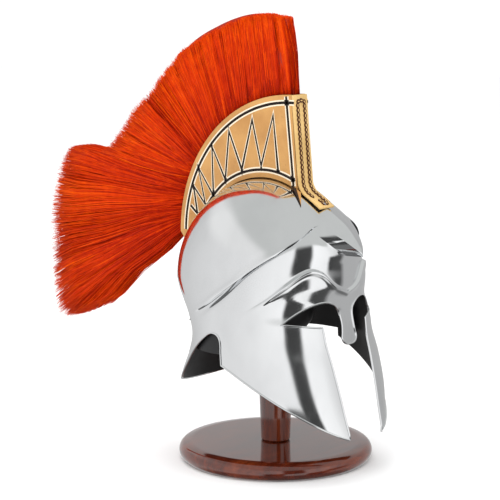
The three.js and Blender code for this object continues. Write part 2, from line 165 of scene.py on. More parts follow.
HAIR_TIPS = {
    "root": (0.0, 0.12, 0.25, 0.38, 0.5, 0.6, 0.7, 0.76, 0.81, 0.88, 0.93, 0.97, 1.0),
    "back": (-0.040, 0.040, 0.125, 0.236, 0.36, 0.477, 0.605, 0.741, 0.902, 0.995, 0.99, 0.955, 0.78),
    "up": (0.990, 1.0, 0.997, 0.974, 0.932, 0.858, 0.757, 0.658, 0.655, 0.5, 0.366, 0.243, 0.278),
}
HAIR_REACH = {
    "root": (0.0, 0.15, 0.3, 0.5, 0.64, 0.72, 0.78, 1.0),
    "reach": (0.94, 0.92, 0.885, 0.875, 0.91, 0.97, 0.985, 0.985),
}


# Small helpers for numbers
def lerp(a, b, share):
    return a + (b - a) * share


def smoothstep(value, low, high):
    share = min(max((value - low) / (high - low), 0), 1)
    return share * share * (3 - 2 * share)


def look_up(table, key, column, place):
    """Value of one column at a place, eased between rows as in the part's source."""
    keys = table[key]
    values = table[column]
    if place <= keys[0]:
        return values[0]
    for i in range(1, len(keys)):
        if place <= keys[i]:
            before = max(i - 2, 0)
            after = min(i + 1, len(keys) - 1)
            span = keys[i] - keys[i - 1]
            s = (place - keys[i - 1]) / span
            slope_in = (values[i] - values[before]) / (keys[i] - keys[before]) * span
            slope_out = (values[after] - values[i - 1]) / (keys[after] - keys[i - 1]) * span
            return (values[i - 1] * (2 * s**3 - 3 * s**2 + 1) + slope_in * (s**3 - 2 * s**2 + s)
                    + values[i] * (3 * s**2 - 2 * s**3) + slope_out * (s**3 - s**2))
    return values[-1]


# Surface of the helmet
def prow_share(z, lift_degrees):
    """How far the dome's plan narrows to a prow in front, from 0 to 1."""
    rising = smoothstep(z, WIDEST_HEIGHT * 0.95, WIDEST_HEIGHT + DOME_RISE * 0.3)
    return rising * (1 - smoothstep(lift_degrees, *PROW_LIFTS))


def section_point(turn, z, on_dome):
    """Outer surface at a turn in degrees from the front and a height, in millimetres."""
    angle = math.radians(turn)
    lift = math.asin(min(max((z - WIDEST_HEIGHT) / DOME_RISE, 0), 1))
    shrink = math.cos(lift)
    lift_degrees = math.degrees(lift)
    share = z / WIDEST_HEIGHT
    low = z < WIDEST_HEIGHT
    width = HALF_WIDTH * (look_up(LOWER_SECTIONS, "height", "width", share) if low else shrink)
    back = HALF_LENGTH * (look_up(LOWER_SECTIONS, "height", "back", share) if low else shrink)
    column = "dome" if on_dome else "face"
    front = HALF_LENGTH * shrink * look_up(UPPER_SECTIONS, "lift", column, lift_degrees)
    square_x = look_up(LOWER_SECTIONS, "height", "squareness", share) if low else OVAL
    square_y = square_x
    if low and not on_dome:
        front = HALF_LENGTH * look_up(LOWER_SECTIONS, "height", "front", share)
    if on_dome:
        square_x = lerp(OVAL, DOME_PROW, prow_share(z, lift_degrees))
        square_y = OVAL
    if turn <= 90:
        x = width * math.sin(angle) ** (2 / square_x)
        y = CENTRE_Y - front * max(math.cos(angle), 0) ** (2 / square_y)
        return x, y
    behind = look_up(LOWER_SECTIONS, "height", "behind", share) if low else BACK_SQUARENESS
    square_back = lerp(OVAL, behind, smoothstep(turn, *BACK_EASE))
    x = width * max(math.sin(angle), 0) ** (2 / square_back)
    y = CENTRE_Y + back * max(-math.cos(angle), 0) ** (2 / square_back)
    return x, y


def face_relief(turn, z):
    """How far the sheet stands out from the plain face below the brow ridge."""
    ridge = WIDEST_HEIGHT * look_up(BROW_LINES, "turn", "ridge", turn)
    arch = WIDEST_HEIGHT * look_up(BROW_LINES, "turn", "arch", turn)
    ridge_fade = 1 - smoothstep(turn, *RIDGE_FADE)
    arch_fade = 1 - smoothstep(turn, *ARCH_FADE)
    above_arch = smoothstep(z, arch - 1.2, arch + 1.2)
    rolled = ROLL_OUT * math.exp(-((z - arch + 2.5) / 3.0) ** 2)
    cove = RIDGE_COVE_DEPTH * math.exp(-((z - ridge + 5) / 5.0) ** 2) * ridge_fade
    cove *= smoothstep(turn, *MIDDLE_FADE)
    step = COVE_DEPTH * above_arch * arch_fade
    under_ridge = UNDERCUT_DEPTH * smoothstep(z, ridge - 16, ridge - 6) * ridge_fade * (1 - arch_fade)
    return rolled * arch_fade - step - cove - under_ridge


def surface_point(turn, z, on_dome):
    """A point of the outer sheet with its relief, for turns from -180 to 180."""
    side = -1 if turn < 0 else 1
    turn = abs(turn)
    x, y = section_point(turn, z, on_dome)
    if on_dome:
        ridge = WIDEST_HEIGHT * look_up(BROW_LINES, "turn", "ridge", turn)
        out = LIP_OUT * (1 - smoothstep(turn, *RIDGE_FADE)) * math.exp(-((z - ridge) / LIP_HALF_HEIGHT) ** 2)
        out *= lerp(0.3, 1, smoothstep(turn, *MIDDLE_FADE))
    else:
        out = face_relief(turn, z)
    length = math.hypot(x, y - CENTRE_Y) or 1
    return Vector(((x + out * x / length) * side, y + out * (y - CENTRE_Y) / length, z))


def column_heights(turn):
    """Heights of one column of the sheet from its bottom to the crown, and which lie on the dome."""
    turn = abs(turn)
    ridge = WIDEST_HEIGHT * look_up(BROW_LINES, "turn", "ridge", turn)
    arch = WIDEST_HEIGHT * look_up(BROW_LINES, "turn", "arch", turn)
    rows = [(lerp(SHEET_BOTTOM, arch + ARCH_ROWS[0], i / FACE_ROWS), False) for i in range(FACE_ROWS)]
    rows += [(arch + d, False) for d in ARCH_ROWS]
    cove_bottom = arch + ARCH_ROWS[-1]
    cove_top = ridge + UNDER_RIDGE_ROWS[0]
    rows += [(lerp(cove_bottom, cove_top, i / COVE_ROWS), False) for i in range(1, COVE_ROWS)]
    rows += [(ridge + d, False) for d in UNDER_RIDGE_ROWS]
    rows += [(ridge + d, True) for d in OVER_RIDGE_ROWS]
    start = (ridge + OVER_RIDGE_ROWS[-1] - WIDEST_HEIGHT) / DOME_RISE
    first = math.asin(max(start, 0))
    for i in range(1, DOME_ROWS):
        if start < 0:
            share = start + (1 - start) * math.sin(math.pi / 2 * i / DOME_ROWS)
        else:
            share = math.sin(lerp(first, math.pi / 2, i / DOME_ROWS))
        rows.append((WIDEST_HEIGHT + DOME_RISE * min(share, 0.9999), True))
    return rows


def turn_at(z, target, axis):
    """Turn from the front at which the face has this X (axis 0) or Y (axis 1) at a height."""
    low = 0.0
    high = 90.0 if axis == 0 else 180.0
    for _ in range(40):
        middle = (low + high) / 2
        if section_point(middle, z, False)[axis] < target:
            low = middle
        else:
            high = middle
    return low


def dome_height(x, y):
    """Height of the dome's outer face over a point of the plan."""
    low = WIDEST_HEIGHT
    high = WIDEST_HEIGHT + DOME_RISE
    for _ in range(36):
        z = (low + high) / 2
        lift = math.asin((z - WIDEST_HEIGHT) / DOME_RISE)
        shrink = math.cos(lift)
        lift_degrees = math.degrees(lift)
        ahead = y < CENTRE_Y
        stretch = look_up(UPPER_SECTIONS, "lift", "dome", lift_degrees) if ahead else 1
        square_x = lerp(OVAL, DOME_PROW, prow_share(z, lift_degrees)) if ahead else BACK_SQUARENESS
        square_y = OVAL if ahead else BACK_SQUARENESS
        across = abs(x) / (HALF_WIDTH * shrink)
        along = abs(y - CENTRE_Y) / (HALF_LENGTH * shrink * stretch)
        if across ** square_x + along ** square_y < 1:
            low = z
        else:
            high = z
    return low


def dome_under(y, half_span=CREST_HALF):
    return max(dome_height(half_span * share, y) for share in (0, 0.5, 1))


# Mesh helpers
def clear_selection():
    if bpy.context.object and bpy.context.object.mode != "OBJECT":
        bpy.ops.object.mode_set(mode="OBJECT")
    bpy.ops.object.select_all(action="DESELECT")


def make_active(piece):
    clear_selection()
    piece.select_set(True)
    bpy.context.view_layer.objects.active = piece


def from_points(name, points, faces):
    """A mesh object from points in millimetres."""
    mesh = bpy.data.meshes.new(name)
    mesh.from_pydata([tuple(c * MM for c in point) for point in points], [], faces)
    piece = bpy.data.objects.new(name, mesh)
    bpy.context.collection.objects.link(piece)
    return piece


def tidy_normals(piece, merge=0.00001):
    make_active(piece)
    bpy.ops.object.mode_set(mode="EDIT")
    bpy.ops.mesh.select_all(action="SELECT")
    bpy.ops.mesh.remove_doubles(threshold=merge)
    bpy.ops.mesh.normals_make_consistent(inside=False)
    bpy.ops.object.mode_set(mode="OBJECT")


def smooth(piece, degrees=35):
    make_active(piece)
    bpy.ops.object.shade_smooth_by_angle(angle=math.radians(degrees))


def apply_modifier(piece, kind, **settings):
    make_active(piece)
    modifier = piece.modifiers.new(kind.title(), kind)
    for key, value in settings.items():
        setattr(modifier, key, value)
    bpy.ops.object.modifier_apply(modifier=modifier.name)


def soften_edges(piece, width):
    apply_modifier(piece, "BEVEL", width=width * MM, segments=2, limit_method="ANGLE",
                   angle_limit=math.radians(50))


def join(pieces, name):
    clear_selection()
    for piece in pieces:
        piece.select_set(True)
    bpy.context.view_layer.objects.active = pieces[0]
    bpy.ops.object.join()
    pieces[0].name = name
    return pieces[0]


def slab(name, outline, place, thickness, plane):
    """A flat outline in YZ (plane X) or XZ (plane Y) pushed through along the other axis."""
    make = (lambda a, b: (place, a, b)) if plane == "X" else (lambda a, b: (a, place, b))
    piece = from_points(name, [make(a, b) for a, b in outline], [list(range(len(outline)))])
    make_active(piece)
    push = (thickness * MM, 0, 0) if plane == "X" else (0, thickness * MM, 0)
    bpy.ops.object.mode_set(mode="EDIT")
    bpy.ops.mesh.select_all(action="SELECT")
    bpy.ops.mesh.extrude_region_move(TRANSFORM_OT_translate={"value": push})
    bpy.ops.object.mode_set(mode="OBJECT")
    tidy_normals(piece)
    return piece


def tube(name, path, radius, resolution=3):
    """A round bar along a path in millimetres, as a mesh."""
    curve = bpy.data.curves.new(name, "CURVE")
    curve.dimensions = "3D"
    curve.bevel_depth = radius * MM
    curve.bevel_resolution = resolution
    curve.use_fill_caps = True
    spline = curve.splines.new("POLY")
    spline.points.add(len(path) - 1)
    for point, place in zip(spline.points, path):
        point.co = (place[0] * MM, place[1] * MM, place[2] * MM, 1)
    piece = bpy.data.objects.new(name, curve)
    bpy.context.collection.objects.link(piece)
    make_active(piece)
    bpy.ops.object.convert(target="MESH")
    return bpy.context.object


def turned(name, profile, segments=128):
    """A turned piece from a profile of radius and height, listed from the bottom to the top."""
    piece = from_points(name, [(r, 0, z) for r, z in profile], [])
    mesh = piece.data
    mesh.edges.add(len(profile) - 1)
    for i, edge in enumerate(mesh.edges):
        edge.vertices = (i, i + 1)
    make_active(piece)
    bpy.ops.object.mode_set(mode="EDIT")
    bpy.ops.mesh.select_all(action="SELECT")
    bpy.ops.mesh.spin(steps=segments, angle=math.tau, center=(0, 0, 0), axis=(0, 0, 1))
    bpy.ops.object.mode_set(mode="OBJECT")
    tidy_normals(piece)
    return piece


def curve_points(start, control, end, steps):
    """Points of a quadratic curve after its start, up to its end."""
    points = []
    for i in range(1, steps + 1):
        t = i / steps
        a = lerp(start[0], control[0], t)
        b = lerp(start[1], control[1], t)
        c = lerp(control[0], end[0], t)
        d = lerp(control[1], end[1], t)
        points.append((lerp(a, c, t), lerp(b, d, t)))
    return points


# Shader helpers
class Sock:
    """A socket that adds Math nodes when it is used in an expression."""

    def __init__(self, build, socket):
        self.build = build
        self.socket = socket

    def math(self, operation, *others):
        return self.build.node("ShaderNodeMath", {"operation": operation}, {
            i: value for i, value in enumerate((self, *others))})

    def __add__(self, other):
        return self.math("ADD", other)

    def __mul__(self, other):
        return self.math("MULTIPLY", other)

    def __sub__(self, other):
        return self.math("SUBTRACT", other)

    def clamp(self):
        return self.build.node("ShaderNodeClamp", {}, {0: self})

    def above(self, low, high):
        """0 below low, 1 above high."""
        return self.build.node("ShaderNodeMapRange", {"interpolation_type": "SMOOTHSTEP"},
                               {"Value": self, "From Min": low, "From Max": high})


class Shader:
    """Builds one material's nodes."""

    def __init__(self, name, world=None):
        if world:
            self.tree = world.node_tree
        else:
            self.material = bpy.data.materials.new(name)
            self.material.use_nodes = True
            self.tree = self.material.node_tree
            self.surface = self.tree.nodes["Principled BSDF"]

    def node(self, kind, settings, inputs, output=0):
        made = self.tree.nodes.new(kind)
        for key, value in settings.items():
            if key == "ramp":
                self.fill_ramp(made.color_ramp, value)
            else:
                setattr(made, key, value)
        for key, value in inputs.items():
            self.feed(made.inputs[key], value)
        return Sock(self, made.outputs[output])

    def feed(self, socket, value):
        if isinstance(value, Sock):
            self.tree.links.new(value.socket, socket)
        else:
            socket.default_value = value

    def fill_ramp(self, ramp, stops):
        while len(ramp.elements) < len(stops):
            ramp.elements.new(0.5)
        for element, (place, colour) in zip(ramp.elements, stops):
            element.position = place
            element.color = (*colour, 1)

    def coordinates(self, scale=(1, 1, 1)):
        place = self.node("ShaderNodeTexCoord", {}, {}, "Object")
        return self.node("ShaderNodeMapping", {}, {"Vector": place, "Scale": scale})

    def noise(self, scale, detail=3.0, stretch=(1, 1, 1), roughness=0.5):
        return self.node("ShaderNodeTexNoise", {}, {
            "Vector": self.coordinates(stretch), "Scale": scale, "Detail": detail, "Roughness": roughness}, 0)

    def mix(self, factor, a, b):
        made = self.tree.nodes.new("ShaderNodeMix")
        made.data_type = "RGBA"
        self.feed(made.inputs["Factor"], factor)
        self.feed(made.inputs[6], a if isinstance(a, Sock) else (*a, 1))
        self.feed(made.inputs[7], b if isinstance(b, Sock) else (*b, 1))
        return Sock(self, made.outputs[2])

    def ramp(self, factor, stops):
        return self.node("ShaderNodeValToRGB", {"ramp": stops}, {"Fac": factor})

    def bump(self, height, strength, distance):
        return self.node("ShaderNodeBump", {}, {"Height": height, "Strength": strength, "Distance": distance})

    def set(self, **values):
        for key, value in values.items():
            self.feed(self.surface.inputs[key.replace("_", " ")], value)


# Colours of the finishes
STEEL_CLEAN = (0.86, 0.87, 0.88)
STEEL_SMEARED = (0.80, 0.81, 0.82)
LINING_DARK = (0.004, 0.004, 0.0045)
LINING_LIGHT = (0.016, 0.016, 0.017)
HAIR_TONES = [(0.0, (0.20, 0.004, 0.0)), (0.3, (0.44, 0.013, 0.0)), (0.6, (0.72, 0.042, 0.0)),
              (1.0, (0.98, 0.125, 0.0))]
# Dark tones of the plume's inside mass: painted shade among the hairs
HAIR_SHADE_DARK = (0.24, 0.006, 0.0)
HAIR_SHADE_PALE = (0.50, 0.022, 0.001)
WOOD_TONES = [(0.25, (0.022, 0.004, 0.002)), (0.45, (0.085, 0.012, 0.004)), (0.6, (0.17, 0.030, 0.008)),
              (0.8, (0.30, 0.075, 0.018))]
WOOD_FLECK = (0.03, 0.006, 0.002)
FLOOR_TONES = ((0.93, 0.93, 0.93), (0.95, 0.95, 0.95))


def polished_steel():
    shader = Shader("polished_steel")
    smears = shader.noise(18, 4, (1, 1, 0.6))
    scuffs = shader.noise(160, 2, (1, 1, 0.25))
    waves = shader.noise(14, 2)
    shader.set(Base_Color=shader.mix(smears.above(0.4, 0.7), STEEL_CLEAN, STEEL_SMEARED),
               Metallic=1.0,
               Roughness=smears.above(0.35, 0.75) * 0.07 + scuffs.above(0.5, 0.9) * 0.05 + 0.07,
               Normal=shader.bump(waves, 0.12, 0.004))
    return shader.material


def black_lining_and_shade():
    shader = Shader("black_lining_and_shade")
    mottle = shader.noise(60, 4)
    shader.set(Base_Color=shader.mix(mottle, LINING_DARK, LINING_LIGHT),
               Roughness=mottle * 0.25 + 0.35,
               Normal=shader.bump(mottle, 0.2, 0.0006))
    return shader.material


def tan_leather(name, light, dark):
    shader = Shader(name)
    cloud = shader.noise(28, 4)
    grain = shader.noise(1500, 3)
    pores = shader.node("ShaderNodeTexVoronoi", {}, {"Vector": shader.coordinates(), "Scale": 1400.0}, 0)
    speck = shader.noise(420, 2)
    base = shader.mix(cloud.above(0.3, 0.7), light, dark)
    shader.set(Base_Color=shader.mix(speck.above(0.62, 0.8) * 0.35, base, tuple(0.5 * c for c in dark)),
               Roughness=grain * 0.2 + 0.42,
               Normal=shader.bump(grain * 0.6 + pores * 0.4, 0.25, 0.0003))
    return shader.material


def line_paint(name, colour, roughness):
    shader = Shader(name)
    wear = shader.noise(700, 3)
    worn = tuple(c * 0.85 + 0.012 for c in colour)
    shader.set(Base_Color=shader.mix(wear.above(0.45, 0.75) * 0.35, colour, worn),
               Roughness=wear * 0.15 + roughness)
    return shader.material


def horsehair():
    shader = Shader("horsehair")
    # The tint attribute holds each strand's tone, with painted shade at the roots and painted sheen at the
    # tips
    tint = shader.node("ShaderNodeAttribute", {"attribute_name": "tint"}, {}, "Fac")
    streak = shader.noise(90, 3, (1, 1, 1))
    shade = (tint * 0.8 + streak * 0.3).clamp()
    colour = shader.ramp(shade, HAIR_TONES)
    shader.set(Base_Color=colour, Roughness=0.5)
    shader.surface.inputs["Specular IOR Level"].default_value = 0.06
    return shader.material


def hair_shadow():
    shader = Shader("hair_shadow")
    streak = shader.noise(120, 3)
    shader.set(Base_Color=shader.mix(streak, HAIR_SHADE_DARK, HAIR_SHADE_PALE), Roughness=0.7)
    return shader.material


def glossy_mahogany(name, stretch, turned_grain):
    shader = Shader(name)
    broad = shader.noise(9, 4, stretch)
    fine = shader.noise(70, 5, stretch, 0.6)
    flecks = shader.noise(320, 2, stretch)
    tone = (broad * 0.55 + fine * 0.45).clamp()
    colour = shader.ramp(tone, WOOD_TONES)
    dark = shader.mix(flecks.above(0.55, 0.75) * turned_grain, colour, WOOD_FLECK)
    shader.set(Base_Color=dark, Roughness=fine * 0.06 + 0.10)
    shader.surface.inputs["Coat Weight"].default_value = 1.0
    shader.surface.inputs["Coat Roughness"].default_value = 0.02
    return shader.material


STEEL = polished_steel()
LINING_AND_SHADE = black_lining_and_shade()
PANEL_LEATHER = tan_leather("panel_leather", (0.60, 0.315, 0.095), (0.47, 0.225, 0.06))
STRIP_LEATHER = tan_leather("strip_leather", (0.74, 0.49, 0.19), (0.60, 0.38, 0.13))
CREAM_LINE = line_paint("cream_line", (0.86, 0.74, 0.56), 0.5)
BLACK_LINE = line_paint("black_line", (0.012, 0.005, 0.002), 0.75)
ROPE_BROWN = line_paint("rope_brown", (0.07, 0.018, 0.004), 0.8)
# Dark brown painted shade, for the strip's underside and half of each leather corner
SHADE_BROWN = line_paint("painted_shade_brown", (0.035, 0.016, 0.007), 0.7)
HAIR = horsehair()
HAIR_SHADOW = hair_shadow()
BASE_WOOD = glossy_mahogany("base_mahogany", (0.35, 1.6, 1.6), 0.4)
POST_WOOD = glossy_mahogany("post_mahogany", (1.6, 1.6, 0.2), 0.3)


# Camera and studio
CAMERA_PLACE = (-1.6373, -1.3550, 0.5985)
CAMERA_DIP = 9.28
CAMERA_TURN = -49.56
CAMERA_LENS = 130.99
CAMERA_SENSOR = 36

# What gloss sees round the room: place on the way round, and brightness
BROW_ROOM = {
    "place": (0.0, 0.14, 0.25, 0.35, 0.380, 0.391, 0.450, 0.462, 0.528, 0.543, 0.605, 0.63, 0.80, 1.0),
    "level": (0.66, 0.80, 0.88, 1.0, 1.05, 0.05, 0.06, 1.1, 1.0, 0.06, 0.08, 0.46, 0.46, 0.66),
}
CHEEK_ROOM = {
    "place": (0.0, 0.14, 0.25, 0.35, 0.380, 0.391, 0.450, 0.462, 0.528, 0.60, 0.63, 0.80, 1.0),
    "level": (0.66, 0.80, 0.88, 1.0, 1.05, 0.05, 0.06, 1.1, 1.0, 0.62, 0.46, 0.46, 0.66),
}
BROW_SHIFT = 0.065
CEILING_BRIGHT = (0.86, 0.86, 0.855)
CEILING_GREY = (0.61, 0.62, 0.61)
FLOOR_DARK = (0.16, 0.16, 0.16)
ROOM_WHITE = (1.1, 1.1, 1.1)
LAMP_TARGET = (0, 0, 0.3)
LAMPS = [
    {"name": "key_soft_box", "place": (-1.9, -0.6, 1.7), "size": (1.2, 1.2), "power": 16},
    {"name": "fill_soft_box", "place": (0.6, -2.4, 1.1), "size": (1.0, 1.4), "power": 8},
    {"name": "top_soft_box", "place": (0.1, 0.4, 2.4), "size": (1.6, 1.6), "power": 14},
]


def set_camera():
    """The photo's view: fifty degrees round to the wearer's right and a little above."""
    camera = bpy.data.cameras.new("photo_view")
    camera.lens = CAMERA_LENS
    camera.sensor_width = CAMERA_SENSOR
    camera.clip_end = 30
    viewer = bpy.data.objects.new("photo_view", camera)
    bpy.context.collection.objects.link(viewer)
    viewer.location = CAMERA_PLACE
    viewer.rotation_euler = (math.radians(90 - CAMERA_DIP), 0, math.radians(CAMERA_TURN))
    bpy.context.scene.camera = viewer


def add_lamp(name, place, size, power):
    light = bpy.data.lights.new(name, "AREA")
    light.shape = "RECTANGLE"
    light.size, light.size_y = size
    light.energy = power
    lamp = bpy.data.objects.new(name, light)
    bpy.context.collection.objects.link(lamp)
    lamp.location = place
    lamp.rotation_euler = (Vector(LAMP_TARGET) - Vector(place)).to_track_quat("-Z", "Y").to_euler()
    lamp.visible_glossy = False


def room_ramp(room, place, table):
    return room.ramp(place, [(where, (level,) * 3) for where, level in zip(table["place"], table["level"])])


def set_studio():
    """A white room with soft boxes, and dark flags that only gloss shows."""
    world = bpy.data.worlds.new("studio")
    bpy.context.scene.world = world
    bpy.context.scene.view_settings.view_transform = "Standard"
    world.use_nodes = True
    room = Shader("studio", world)
    direction = room.node("ShaderNodeTexCoord", {}, {}, "Generated")
    parts = room.tree.nodes.new("ShaderNodeSeparateXYZ")
    room.feed(parts.inputs[0], direction)
    x = Sock(room, parts.outputs[0])
    y = Sock(room, parts.outputs[1])
    z = Sock(room, parts.outputs[2])
    bearing = room.node("ShaderNodeMath", {"operation": "ARCTAN2"}, {0: x, 1: y * -1})
    place = bearing * (0.5 / math.pi) + 0.5
    brow_walls = room_ramp(room, place + z.above(-0.2, -0.36) * BROW_SHIFT, BROW_ROOM)
    cheek_walls = room_ramp(room, place, CHEEK_ROOM)
    walls = room.mix(z.above(-0.02, -0.14), cheek_walls, brow_walls)
    across = x * 0.45 + y * -0.52 + z * 0.72
    ceiling = room.mix(across.above(-0.02, 0.16), CEILING_BRIGHT, CEILING_GREY)
    seen = room.mix(z.above(0.34, 0.5), walls, ceiling)
    seen = room.mix(z.above(-0.75, -0.5), FLOOR_DARK, seen)
    path = room.tree.nodes.new("ShaderNodeLightPath")
    glossy = Sock(room, path.outputs["Is Glossy Ray"])
    colour = room.mix(glossy, ROOM_WHITE, seen)
    background = room.tree.nodes["Background"]
    room.feed(background.inputs["Color"], colour)
    background.inputs["Strength"].default_value = 1.0
    for lamp in LAMPS:
        add_lamp(**lamp)


def add_floor():
    bpy.ops.mesh.primitive_plane_add(size=12, location=(0, 0, 0))
    floor = bpy.context.object
    floor.name = "floor"
    floor.data.transform(floor.matrix_world)
    floor.matrix_world.identity()
    shader = Shader("pale_floor")
    speck = shader.noise(3, 2)
    shader.set(Base_Color=shader.mix(speck, *FLOOR_TONES), Roughness=0.9)
    floor.data.materials.append(shader.material)
    floor.visible_glossy = False


set_camera()
set_studio()
add_floor()


def finish(piece, slot, *nodes):
    """Rides on the one body and stands for its nodes. The slot is not used."""
    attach(piece, "root")
    if nodes:
        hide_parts(*nodes)


# Helmet shell
def face_outline():
    """The face opening in the front view: one half is mirrored."""
    low = (CHEEK_GAP_BOTTOM_HALF, SHEET_BOTTOM - 20)
    half = [low, (CHEEK_GAP_BOTTOM_HALF, CHEEK_TIP[1]), CHEEK_GAP_TOP, EYE_OUTER]
    half += curve_points(EYE_OUTER, (EYE_TOP[0] + EYE_SWEEP, EYE_TOP[1]), EYE_TOP, 10)
    half += curve_points(EYE_TOP, (NOSE_ROOT_HALF, EYE_TOP[1]), NOSE_SHOULDER, 10)
    half += curve_points(NOSE_SHOULDER, NOSE_MID, NOSE_BULB, 10)
    half += curve_points(NOSE_BULB, (NOSE_BULB[0], NOSE_TIP_Z), (0, NOSE_TIP_Z), 10)
    return half + [(-x, z) for x, z in reversed(half[:-1])]


def lower_outline():
    """The trim line in the side view, from the cheek's tip to the neck's back."""
    cheek_bend = tuple(lerp(back, tip, share) for back, tip, share in zip(CHEEK_BACK, CHEEK_TIP, CHEEK_BEND))
    line = [CHEEK_TIP] + curve_points(CHEEK_TIP, cheek_bend, CHEEK_BACK, 16)
    front = (CHEEK_BACK[0] + 1, lerp(CHEEK_BACK[1], NOTCH_TOP[1], NOTCH_FRONT_RISE))
    line.append(front)
    line += curve_points(front, (NOTCH_TOP[0] - NOTCH_LEAD, NOTCH_TOP[1]), NOTCH_TOP, 10)
    behind = (NOTCH_TOP[0] + NOTCH_SLOPE[0], NOTCH_TOP[1] - NOTCH_SLOPE[1])
    line += curve_points(NOTCH_TOP, (NOTCH_TOP[0] + 5, NOTCH_TOP[1]), behind, 6)
    neck_bend = (NOTCH_TOP[0] + NECK_BEND, lerp(NECK_RIM[1], NOTCH_TOP[1], NECK_BEND_RISE))
    line += curve_points(behind, neck_bend, NECK_RIM, 12)
    line += [(HALF_LENGTH + CENTRE_Y, NECK_BACK_Z), (HALF_LENGTH * 2, NECK_BACK_Z)]
    return line


def make_shell():
    columns = 288
    turns = [lerp(-180, 180, i / columns) for i in range(columns)]
    rows = len(column_heights(0))
    points = []
    for turn in turns:
        points += [surface_point(turn, z, on_dome) for z, on_dome in column_heights(turn)]
    crown = len(points)
    points.append((0, CENTRE_Y, WIDEST_HEIGHT + DOME_RISE))
    faces = []
    for i in range(columns):
        k = (i + 1) % columns
        for j in range(rows - 1):
            faces.append((i * rows + j, k * rows + j, k * rows + j + 1, i * rows + j + 1))
        faces.append((i * rows + rows - 1, k * rows + rows - 1, crown))
    shell = from_points("shell", points, faces)
    tidy_normals(shell)
    shell.data.materials.append(STEEL)
    shell.data.materials.append(LINING_AND_SHADE)
    apply_modifier(shell, "SOLIDIFY", thickness=WALL * MM, offset=-1, use_even_offset=False,
                   material_offset=1, material_offset_rim=0)
    face_cut = slab("face_cut", face_outline(), -HALF_LENGTH * 2, HALF_LENGTH * 2 - 18, "Y")
    low = SHEET_BOTTOM - 20
    ahead = CHEEK_TIP[0] - 60
    trim = [(ahead, low + 1)] + lower_outline() + [(HALF_LENGTH * 2, low), (ahead, low)]
    trim_cut = slab("trim_cut", trim, -HALF_WIDTH * 1.5, HALF_WIDTH * 3, "X")
    for cutter in (face_cut, trim_cut):
        cutter.data.materials.append(STEEL)
        apply_modifier(shell, "BOOLEAN", operation="DIFFERENCE", solver="EXACT", object=cutter)
        bpy.data.objects.remove(cutter)
    return shell


def bead_paths():
    """The rolled edge: round the face opening, and along the lower trim on each side."""
    outline = face_outline()[1:-1]
    fine = []
    for (x0, z0), (x1, z1) in zip(outline, outline[1:]):
        steps = max(int(math.hypot(x1 - x0, z1 - z0) / 3), 1)
        fine += [(lerp(x0, x1, i / steps), lerp(z0, z1, i / steps)) for i in range(steps)]
    face = []
    for x, z in fine:
        turn = turn_at(z, abs(x), 0)
        point = surface_point(math.copysign(turn, x or 1), z, False)
        face.append((point.x, max(point.y, FRONT_LIMIT), point.z))
    trim = lower_outline()[:-2]
    sides = []
    for side in (-1, 1):
        path = []
        for (y0, z0), (y1, z1) in zip(trim, trim[1:]):
            steps = max(int(math.hypot(y1 - y0, z1 - z0) / 3), 1)
            for i in range(steps):
                y = lerp(y0, y1, i / steps)
                z = lerp(z0, z1, i / steps)
                turn = turn_at(z, y, 1)
                point = surface_point(turn, z, False)
                if abs(point.x) >= CHEEK_GAP_BOTTOM_HALF:
                    path.append(Vector((point.x * side, max(point.y, FRONT_LIMIT), point.z)))
        if side < 0:
            first = path
        else:
            sides.append(first + back_rim() + list(reversed(path)))
    return face, sides[0]


def back_rim():
    """The neck's rim from the right side round the back to the left."""
    start = turn_at(NECK_RIM[1], NECK_RIM[0], 1)
    rim = []
    for i in range(1, 60):
        turn = lerp(start, 360 - start, i / 60)
        z = NECK_RIM[1]
        for _ in range(5):
            point = surface_point(turn if turn <= 180 else turn - 360, z, False)
            share = (point.y - NECK_RIM[0]) / (HALF_LENGTH + CENTRE_Y - NECK_RIM[0])
            z = lerp(NECK_RIM[1], NECK_BACK_Z, min(max(share, 0), 1))
        rim.append(Vector((-point.x, point.y, point.z)))
    return rim


def make_liner():
    """The black padding that hangs inside the sides and back of the helmet, near-black as painted shade that
    keeps the inside dark.
    """
    points = []
    columns = 60
    rows = 12
    for i in range(columns + 1):
        turn = lerp(LINER_FRONT_TURN, 360 - LINER_FRONT_TURN, i / columns)
        for j in range(rows + 1):
            z = lerp(LINER_BOTTOM, LINER_TOP, j / rows)
            x, y = section_point(min(turn, 360 - turn), z, False)
            length = math.hypot(x, y - CENTRE_Y)
            inner = 1 - (WALL + LINER_GAP) / length
            points.append((x * inner * (1 if turn <= 180 else -1), CENTRE_Y + (y - CENTRE_Y) * inner, z))
    faces = []
    for i in range(columns):
        a = i * (rows + 1)
        b = a + rows + 1
        faces += [(a + j, b + j, b + j + 1, a + j + 1) for j in range(rows)]
    liner = from_points("liner", points, faces)
    tidy_normals(liner)
    apply_modifier(liner, "SOLIDIFY", thickness=LINER_THICKNESS * MM, offset=0)
    liner.data.materials.append(LINING_AND_SHADE)
    return liner


shell = make_shell()
face_path, rim_path = bead_paths()
beads = [tube("face_bead", face_path, BEAD_RADIUS), tube("rim_bead", rim_path, BEAD_RADIUS)]
for bead in beads:
    bead.data.materials.append(STEEL)
shell = join([shell, make_liner()] + beads, "helmet_shell_polished")
smooth(shell, 32)
finish(shell, "steel", "helmet_shell")


# Crest holder
STRIP_LIFT = 0.5  # how far the leather is held off the dome
BORDER_INSET = 9
BORDER_CREAM = 6.6
BORDER_BLACK = 3.1
ZIGZAG_CREAM = 5.8
ZIGZAG_BLACK = 3.1
CREAM_PROUD = 0.15
BLACK_PROUD = 0.32


def crest_arc(radius, degrees):
    angle = math.radians(degrees)
    return CREST_CENTRE[0] + radius * math.cos(angle), CREST_CENTRE[1] + radius * math.sin(angle)


